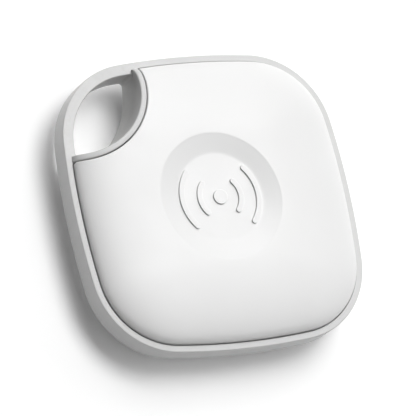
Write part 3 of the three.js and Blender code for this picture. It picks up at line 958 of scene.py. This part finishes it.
# %% [markdown]
# ## White plastics
# Both shells are white plastic from a mould with a fine spark-eroded skin. Up close it is a satin
# with a very fine grain; further off, the white drifts a little, and handling leaves patches that
# are shinier or duller. The case is a shade greyer than the cover.

# %% The cover's white
COVER_TONE = 0.775
COVER_ROUGHNESS = 0.34


def moulded_white(name, tone, roughness):
    finish = Finish(name)
    drift = noise(finish, 7.0, 2.0)
    grain = noise(finish, 0.16, 2.0)
    handling = noise(finish, 2.6, 5.0)
    dull = (tone * 0.965, tone * 0.965, tone * 0.96)
    clear = (tone * 1.02, tone * 1.02, tone * 1.02)
    color = blend(finish, drift * 0.6 + grain * 0.4, dull, clear)
    gloss = fade(finish, handling, 0.35, 0.7) * 0.05 + grain * 0.05 + roughness
    return finish, color, gloss, grain


def make_cover_white():
    finish, color, gloss, grain = moulded_white("cover_white", COVER_TONE, COVER_ROUGHNESS)
    return finish.finish(Base_Color=color, Roughness=gloss, Normal=bump(finish, grain, 0.0035))


COVER_WHITE = make_cover_white()
cover.data.materials.append(COVER_WHITE)
dish.data.materials.append(COVER_WHITE)
print("cover and dish:", COVER_WHITE.name)

# %% [markdown]
# Where a steel key ring rubs round the loop, the case is scuffed: a little darker, polished, and
# marked by short scratches. The distance from the loop's centre says where, noise breaks the patch
# up, and noise on a stretched place gives the scratches.

# %% The case's white, scuffed at the loop
CASE_TONE = 0.585
CASE_ROUGHNESS = 0.40


def make_case_white():
    finish, color, gloss, grain = moulded_white("case_white", CASE_TONE, CASE_ROUGHNESS)
    from_loop = distance_to(finish, *LOOP_CENTRE)
    rubbed = fade(finish, from_loop, LOOP_RADIUS + 0.35, LOOP_RADIUS - 0.1)
    patchy = fade(finish, noise(finish, 0.9, 4.0), 0.42, 0.62)
    scratches = fade(finish, noise(finish, 0.5, 2.0, stretched(finish, 0.5, 0.5, 9.0)), 0.60, 0.68)
    worn = rubbed * patchy
    scuffed = tuple(CASE_TONE * share for share in (0.93, 0.925, 0.91))
    color = blend(finish, worn * 0.6 + rubbed * scratches * 0.4, color, scuffed)
    height = grain - rubbed * scratches * 0.8
    polished = gloss - worn * 0.12
    return finish.finish(Base_Color=color, Roughness=polished, Normal=bump(finish, height, 0.004))


CASE_WHITE = make_case_white()
case.data.materials.append(CASE_WHITE)
print("case:", CASE_WHITE.name)

# %% [markdown]
# ## Soft parts
# The gasket is black silicone rubber, dusted with the talc that keeps it from sticking. The buzzer
# stands on a ring of closed-cell foam, whose skin is all small bubbles. The amber film under the
# board is thin, shiny and slightly wrinkled, and lets half the light through.

# %% Rubber, foam and film


def make_rubber():
    finish = Finish("silicone_rubber", Specular_IOR_Level=0.35)
    talc = fade(finish, noise(finish, 1.4, 5.0), 0.50, 0.72)
    grain = noise(finish, 0.12, 2.0)
    color = blend(finish, talc * 0.5 + grain * 0.1, (0.016, 0.016, 0.017), (0.09, 0.09, 0.088))
    return finish.finish(Base_Color=color, Roughness=talc * 0.2 + 0.62, Normal=bump(finish, grain, 0.006))


def make_foam():
    finish = Finish("closed_cell_foam", Specular_IOR_Level=0.2)
    sockets = {"Vector": finish.place, "Scale": 1 / (0.28 * MM)}
    cells = finish.node("ShaderNodeTexVoronoi", {}, sockets, "Distance")
    tone = noise(finish, 0.9, 3.0)
    color = blend(finish, cells * 0.8 + tone * 0.3, (0.025, 0.025, 0.028), (0.10, 0.10, 0.105))
    return finish.finish(Base_Color=color, Roughness=tone * 0.1 + 0.82, Normal=bump(finish, cells, 0.05))


def make_film():
    finish = Finish("amber_film", Transmission_Weight=0.5, IOR=1.5)
    wrinkles = noise(finish, 2.4, 2.0, stretched(finish, 1.0, 0.35, 1.0))
    drift = noise(finish, 4.0, 2.0)
    color = blend(finish, drift, (0.62, 0.33, 0.055), (0.78, 0.50, 0.12))
    gloss = drift * 0.12 + 0.12
    return finish.finish(Base_Color=color, Roughness=gloss, Normal=bump(finish, wrinkles, 0.03))


RUBBER = make_rubber()
FOAM = make_foam()
FILM = make_film()
print("soft parts:", RUBBER.name, FOAM.name, FILM.name)

# %% [markdown]
# ## Metals
# The contacts, the switch's frame and its dome are nickel-plated steel. The sheet was rolled before
# it was stamped, which leaves fine streaks along the strip, and fingers leave a faint yellowish
# stain. Noise that is stretched in one direction gives the streaks, and they turn the shine up and
# down as well as the colour.

# %% Stamped steel


def make_stamped_steel():
    finish = Finish("stamped_nickel_steel", Metallic=1.0)
    streaks = noise(finish, 0.7, 4.0, stretched(finish, 0.6, 14.0, 14.0))
    stain = fade(finish, noise(finish, 1.8, 4.0), 0.52, 0.75)
    color = blend(finish, stain * 0.7 + streaks * 0.3, (0.66, 0.65, 0.63), (0.47, 0.455, 0.42))
    gloss = streaks * 0.22 + stain * 0.12 + 0.2
    return finish.finish(Base_Color=color, Roughness=gloss, Normal=bump(finish, streaks, 0.004))


STEEL = make_stamped_steel()
dome.data.materials.append(STEEL)
print("contacts and switch:", STEEL.name)

# %% [markdown]
# The cell's can and cap were drawn on a tool, so their marks run in circles round the cell's own
# centre. The buzzer's plate is bare brass, with rings from turning and darker patches where it has
# tarnished. One helper makes the circles for both: noise along a single line, which is the distance
# from the centre.

# %% Drawn steel and brass


def circular(finish, centre, spacing):
    """Streaks in circles round an upright line, about that many millimetres apart."""
    radius = distance_to(finish, *centre)
    sockets = {"W": radius * (1 / spacing), "Scale": 1.0, "Detail": 3.0}
    return finish.node("ShaderNodeTexNoise", {"noise_dimensions": "1D"}, sockets)


def make_cell_steel(centre):
    finish = Finish("cell_nickel_steel", Metallic=1.0)
    rings = circular(finish, centre, 0.22)
    marks = fade(finish, noise(finish, 0.8, 3.0, stretched(finish, 6.0, 1.0, 1.0)), 0.66, 0.72)
    color = blend(finish, rings * 0.5 + marks * 0.4, (0.70, 0.69, 0.67), (0.50, 0.49, 0.47))
    gloss = rings * 0.25 + marks * 0.15 + 0.16
    return finish.finish(Base_Color=color, Roughness=gloss, Normal=bump(finish, rings, 0.006))


def make_brass(centre):
    finish = Finish("rolled_brass", Metallic=1.0)
    rings = circular(finish, centre, 0.3)
    tarnish = fade(finish, noise(finish, 1.5, 5.0), 0.48, 0.72)
    color = blend(finish, tarnish * 0.8, (0.80, 0.58, 0.24), (0.42, 0.26, 0.10))
    gloss = rings * 0.2 + tarnish * 0.2 + 0.18
    return finish.finish(Base_Color=color, Roughness=gloss, Normal=bump(finish, rings, 0.005))


def middle(node):
    low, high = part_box(node)
    return (low + high) / (2 * MM)


CELL_CENTRE = middle("cell_can").xy
BUZZER_CENTRE = middle("buzzer_plate").xy
CELL_STEEL = make_cell_steel(CELL_CENTRE)
BRASS = make_brass(BUZZER_CENTRE)
print("cell centre", CELL_CENTRE, "buzzer centre", BUZZER_CENTRE)

# %% [markdown]
# ## The board
# The board is glass cloth in resin. Its faces have a green lacquer over copper: where copper lies
# under the lacquer the green is lighter, in tracks that run straight and square. The weave of the
# cloth shows as a faint relief. The sawn edge has no lacquer, so it shows the straw-coloured
# laminate itself.

# %% Lacquered laminate


def weave(finish, axis, pitch):
    settings = {"bands_direction": axis}
    sockets = {"Vector": finish.place, "Scale": 1 / (pitch * MM), "Distortion": 0.6}
    return finish.node("ShaderNodeTexWave", settings, sockets)


def make_board():
    finish = Finish("lacquered_laminate", Coat_Weight=0.25, Coat_Roughness=0.2)
    cloth = weave(finish, "X", 2.2) * weave(finish, "Y", 2.2)
    settings = {"offset": 0.37}
    sockets = {"Vector": finish.place, "Scale": 1 / MM, "Brick Width": 5.0, "Row Height": 0.42}
    sockets |= {"Mortar Size": 0.07, "Mortar Smooth": 0.1}
    gaps = finish.node("ShaderNodeTexBrick", settings, sockets, "Fac")
    settings = {"distance": "CHEBYCHEV"}
    sockets = {"Vector": finish.place, "Scale": 1 / (5.5 * MM), "Randomness": 0.8}
    patches = finish.node("ShaderNodeTexVoronoi", settings, sockets, "Color")
    share = finish.node("ShaderNodeSeparateColor", {}, {"Color": patches}, "Red")
    poured = fade(finish, share, 0.54, 0.56)
    copper = poured + (1 - poured) * (1 - gaps)
    green = blend(finish, copper, (0.005, 0.050, 0.020), (0.012, 0.100, 0.038))
    normal = finish.node("ShaderNodeNewGeometry", {}, {}, "Normal")
    upright = finish.node("ShaderNodeSeparateXYZ", {}, {"Vector": normal}, "Z")
    edge = 1 - fade(finish, upright * upright, 0.2, 0.5)
    color = blend(finish, edge, green, (0.42, 0.36, 0.18))
    gloss = edge * 0.4 + cloth * 0.08 + 0.3
    height = cloth * 0.25 + copper * (1 - edge) * 0.5
    return finish.finish(Base_Color=color, Roughness=gloss, Normal=bump(finish, height, 0.02))


BOARD = make_board()
print("board:", BOARD.name)

# %% [markdown]
# ## Parts on the board
# Chips are black epoxy with a matt, gritty skin and a moulded dot beside the first lead. The dot
# could be a separate disc, but on the real chip it is part of the skin, so here it is a smooth
# patch in the finish. It takes its place from the box of the chip's own piece.

# %% Chip epoxy


def make_epoxy(node):
    finish = Finish("epoxy_of_" + node, Specular_IOR_Level=0.4)
    low, high = (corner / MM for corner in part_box(node))
    reach = min(high.x - low.x, high.y - low.y)
    from_dot = distance_to(finish, low.x + 0.16 * reach, high.y - 0.16 * reach, high.z)
    dot = fade(finish, from_dot, 0.09 * reach, 0.07 * reach)
    grit = noise(finish, 0.07, 3.0)
    drift = noise(finish, 1.2, 3.0)
    light = grit * 0.4 + drift * 0.3 + dot * 0.3
    color = blend(finish, light, (0.008, 0.008, 0.009), (0.042, 0.042, 0.044))
    gloss = 0.62 + grit * 0.2 - dot * 0.3
    return finish.finish(Base_Color=color, Roughness=gloss, Normal=bump(finish, grit - dot, 0.012))


EPOXY = make_epoxy("radio_chip")
print("chip:", EPOXY.name)

# %% [markdown]
# Capacitors, resistors, the inductor and the aerial are small blocks of fired ceramic whose two
# ends were dipped in metal. One function serves blocks of any size and direction: it finds the
# longer side of the piece's box and tins both ends of it. The height steps up at the metal, so the
# bump shows its thickness.

# %% Ceramic with tinned ends
TAN = ((0.30, 0.19, 0.11), (0.40, 0.28, 0.17))
BLACK_GLAZE = ((0.012, 0.012, 0.013), (0.035, 0.035, 0.036))
PALE = ((0.58, 0.54, 0.46), (0.68, 0.65, 0.56))


def tinned_ends(node, body, fleck, cap=0.24):
    """Ceramic with a metal cap on each end of the longer side. Cap is the share of the length."""
    finish = Finish("ends_of_" + node)
    low, high = (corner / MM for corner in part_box(node))
    along = "X" if high.x - low.x > high.y - low.y else "Y"
    centre = middle(node)
    half = (high.x - low.x) / 2 if along == "X" else (high.y - low.y) / 2
    start = centre.x if along == "X" else centre.y
    position = finish.node("ShaderNodeSeparateXYZ", {}, {"Vector": finish.place}, along) * (1 / MM)
    off = (position - start) * (1 / half)
    end = fade(finish, off * off, (1 - 2 * cap) ** 2 - 0.02, (1 - 2 * cap) ** 2 + 0.02)
    fired = noise(finish, 0.11, 4.0)
    dull = noise(finish, 0.3, 3.0)
    tin = blend(finish, dull, (0.60, 0.60, 0.60), (0.76, 0.76, 0.75))
    color = blend(finish, end, blend(finish, fired, body, fleck), tin)
    gloss = 0.5 - end * 0.2 + dull * 0.15
    height = fired * 0.5 + end
    relief = bump(finish, height, 0.01)
    return finish.finish(Base_Color=color, Roughness=gloss, Metallic=end, Normal=relief)


CAPACITORS = ["supply_capacitor", "capacitor_1", "capacitor_2", "capacitor_4", "capacitor_5"]
RESISTORS = ["resistor_3", "resistor_6"]
ENDED = {name: tinned_ends(name, *TAN) for name in CAPACITORS}
ENDED |= {name: tinned_ends(name, *BLACK_GLAZE, cap=0.2) for name in RESISTORS}
ENDED["chip_antenna"] = tinned_ends("chip_antenna", *PALE, cap=0.14)
ENDED["buzzer_inductor"] = tinned_ends("buzzer_inductor", *BLACK_GLAZE, cap=0.16)
print("pieces with tinned ends:", len(ENDED))

# %% [markdown]
# A crystal sits in a tray of pale ceramic that is closed by a nickel lid. The lid is a share of the
# height, so the change of finish runs level round the piece.

# %% Ceramic tray under a lid


def lidded(node, lid_share=0.6):
    """Pale ceramic below, and a nickel lid above that share of the height."""
    finish = Finish("lid_of_" + node)
    low, high = (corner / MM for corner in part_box(node))
    level = low.z + (high.z - low.z) * (1 - lid_share)
    height = finish.node("ShaderNodeSeparateXYZ", {}, {"Vector": finish.place}, "Z") * (1 / MM)
    lid = fade(finish, height, level - 0.02, level + 0.02)
    grain = noise(finish, 0.15, 4.0, stretched(finish, 1.0, 6.0, 1.0))
    pale = blend(finish, grain, (0.50, 0.47, 0.40), (0.62, 0.59, 0.52))
    nickel = blend(finish, grain, (0.68, 0.67, 0.65), (0.52, 0.51, 0.49))
    color = blend(finish, lid, pale, nickel)
    gloss = 0.55 - lid * 0.3 + grain * 0.15
    relief = bump(finish, grain, 0.005)
    return finish.finish(Base_Color=color, Roughness=gloss, Metallic=lid, Normal=relief)


LIDDED = {name: lidded(name) for name in ("radio_crystal", "clock_crystal")}
print("pieces under a lid:", len(LIDDED))

# %% [markdown]
# The buzzer's disc is cream ceramic under a baked skin of silver, which stops just short of the
# rim. The cell's gasket and the base and plunger of the switch are black nylon, a satin with a fine
# grain. Neither needs more than a mask or two noises.

# %% Silvered ceramic and nylon


def make_silvered(node):
    """The buzzer's disc: cream ceramic at the rim, under a silver skin with a mottled, baked look."""
    finish = Finish("silvered_ceramic", Specular_IOR_Level=0.5)
    low, high = (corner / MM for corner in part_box(node))
    edge = (high.x - low.x) / 2
    silver = fade(finish, distance_to(finish, *middle(node).xy), edge - 0.25, edge - 0.3)
    mottle = noise(finish, 0.35, 5.0)
    cream = blend(finish, mottle, (0.58, 0.50, 0.34), (0.68, 0.61, 0.45))
    skin = blend(finish, mottle, (0.66, 0.65, 0.62), (0.80, 0.79, 0.76))
    color = blend(finish, silver, cream, skin)
    gloss = 0.45 + mottle * 0.15
    relief = bump(finish, mottle, 0.008)
    return finish.finish(Base_Color=color, Roughness=gloss, Metallic=silver, Normal=relief)


def make_nylon():
    finish = Finish("black_nylon")
    grain = noise(finish, 0.1, 2.0)
    drift = noise(finish, 0.8, 3.0)
    color = blend(finish, drift * 0.7 + grain * 0.3, (0.016, 0.016, 0.018), (0.045, 0.045, 0.05))
    return finish.finish(Base_Color=color, Roughness=drift * 0.15 + 0.38, Normal=bump(finish, grain, 0.006))


SILVERED = make_silvered("buzzer_ceramic")
NYLON = make_nylon()
print("buzzer's disc:", SILVERED.name, "and nylon:", NYLON.name)

# %% [markdown]
# ## Hand the finishes out
# A CAD piece keeps its mesh, and only its material slots change. Going through one table makes it
# plain which piece has which finish, and the check at the end finds any piece that was forgotten.

# %% Finish of every carried piece
FINISHES = {
    "seal_gasket": RUBBER,
    "circuit_board": BOARD,
    "radio_chip": EPOXY,
    "switch_base": NYLON,
    "switch_frame": STEEL,
    "switch_plunger": NYLON,
    "cell_can": CELL_STEEL,
    "cell_cap": CELL_STEEL,
    "cell_gasket": NYLON,
    "cell_pad": FOAM,
    "insulating_film": FILM,
    "negative_tab": STEEL,
    "positive_tab": STEEL,
    "buzzer_foam_ring": FOAM,
    "buzzer_plate": BRASS,
    "buzzer_ceramic": SILVERED,
    "ceramic_spring": STEEL,
    "plate_spring": STEEL,
    **ENDED,
    **LIDDED,
}
for name, material in FINISHES.items():
    for slot in bpy.data.objects[name].material_slots:
        slot.material = material

REPLACED = {"rear_case", "front_cover", "press_dish", "switch_dome"}
print("pieces without a finish:", set(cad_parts) - set(FINISHES) - REPLACED)

# %% [markdown]
# ## Floor
# The tag lies on a sheet of pale paper that reaches so far that its edge is never seen. The plane
# sits a tenth of a millimetre below the back, because two faces at one height flicker. A little
# emission keeps the paper bright where the lights reach it least.

# %% Pale paper
FLOOR_REACH = 9.0
FLOOR_DROP = 0.1
GLOW = 0.08


def make_paper():
    finish = Finish("pale_paper", Emission_Strength=GLOW)
    fibres = noise(finish, 1.5, 5.0)
    drift = noise(finish, 60.0, 2.0)
    color = blend(finish, fibres * 0.5 + drift * 0.5, (0.93, 0.93, 0.93), (0.97, 0.97, 0.97))
    return finish.finish(Base_Color=color, Emission_Color=color, Roughness=fibres * 0.1 + 0.85)


bpy.ops.mesh.primitive_plane_add(size=2 * FLOOR_REACH, location=(0, 0, -FLOOR_DROP * MM))
floor = bpy.context.object
floor.name = "studio_floor"
floor.data.materials.append(make_paper())
print(f"the floor is {2 * FLOOR_REACH:.0f} m wide")

# %% [markdown]
# ## Light
# The tag is lit as by tall windows behind it and to its right, with a weaker fill from the other
# sides. Area lamps would do, but they fade with distance and would leave the paper uneven. A sun
# doesn't fade, and with a wide angle it is as soft as a window, so the two main windows are each a
# pair of suns, a low one and a high one.

# %% Windows
WINDOWS = {
    "low_right_window": (20, 25, 30, 0.25),
    "high_right_window": (20, 62, 30, 0.44),
    "low_back_window": (50, 25, 30, 0.50),
    "high_back_window": (50, 62, 30, 1.51),
    "left_back_window": (80, 45, 30, 0.78),
    "front_fill": (320, 62, 50, 0.62),
    "left_fill": (150, 40, 50, 0.06),
}


def soft_sun(name, azimuth, elevation, spread, strength):
    """A broad, far light: a sun as wide as the given angle, in degrees, seen from the tag."""
    light = bpy.data.lights.new(name, "SUN")
    light.angle = math.radians(spread)
    light.energy = strength
    lamp = bpy.data.objects.new(name, light)
    bpy.context.scene.collection.objects.link(lamp)
    a = math.radians(azimuth)
    e = math.radians(elevation)
    towards = Vector((math.cos(a) * math.cos(e), math.sin(a) * math.cos(e), math.sin(e)))
    lamp.rotation_euler = towards.to_track_quat("Z", "Y").to_euler()


for name, values in WINDOWS.items():
    soft_sun(name, *values)
print("lights:", len(WINDOWS))

# %% [markdown]
# The room itself is dark, except for a white band along the horizon. It puts a soft edge on the
# upright wall and carries the white of the paper on when the camera looks almost level. The band
# fades out with height, which is the Z of the direction in which the world is seen.

# %% White horizon
BAND_FOOT = 0.03
BAND_TOP = 0.114

studio = bpy.data.worlds.new("studio")
studio.use_nodes = True
bpy.context.scene.world = studio
room = Nodes(studio.node_tree)
direction = room.node("ShaderNodeTexCoord", {}, {}, "Generated")
height = room.node("ShaderNodeSeparateXYZ", {}, {"Vector": direction}, "Z")
band = fade(room, height, BAND_TOP, BAND_FOOT)
room.fill(room.tree.nodes["Background"], {"Color": (1, 1, 1, 1), "Strength": band})
print(f"the band fades out {math.degrees(math.asin(BAND_TOP)):.1f} degrees above the horizon")

# %% [markdown]
# ## Camera
# The camera looks down steeply on the tag from its lower left. It stands far off with a long lens,
# which keeps opposite sides nearly parallel. Its three directions are built from the way back to
# the camera and a rough upward direction, made square to each other with cross products.

# %% Camera
SENSOR = 36.0
FOCAL = 435.2
DISTANCE = 617.0
NEAREST = 0.05
FARTHEST = 30
backward = Vector((-0.4507, -0.2406, 0.8596))
rightward = Vector((0.0831, 0.9475, 0.3087)).cross(backward).normalized()
upward = backward.cross(rightward).normalized()
aim = Vector((0, 0, RIM_Z)) - 0.756 * rightward - 0.791 * upward

lens = bpy.data.cameras.new("camera")
lens.sensor_width = SENSOR
lens.lens = FOCAL
lens.clip_start = NEAREST
lens.clip_end = FARTHEST
camera = bpy.data.objects.new("camera", lens)
bpy.context.scene.collection.objects.link(camera)
place = Matrix.Translation((aim + DISTANCE * backward) * MM)
turn = Matrix((rightward, upward, backward)).transposed().to_4x4()
camera.matrix_world = place @ turn
bpy.context.scene.camera = camera
bpy.context.scene.view_settings.view_transform = "Standard"
print(f"the camera stands {DISTANCE:.0f} mm away")

# %% [markdown] ## The end
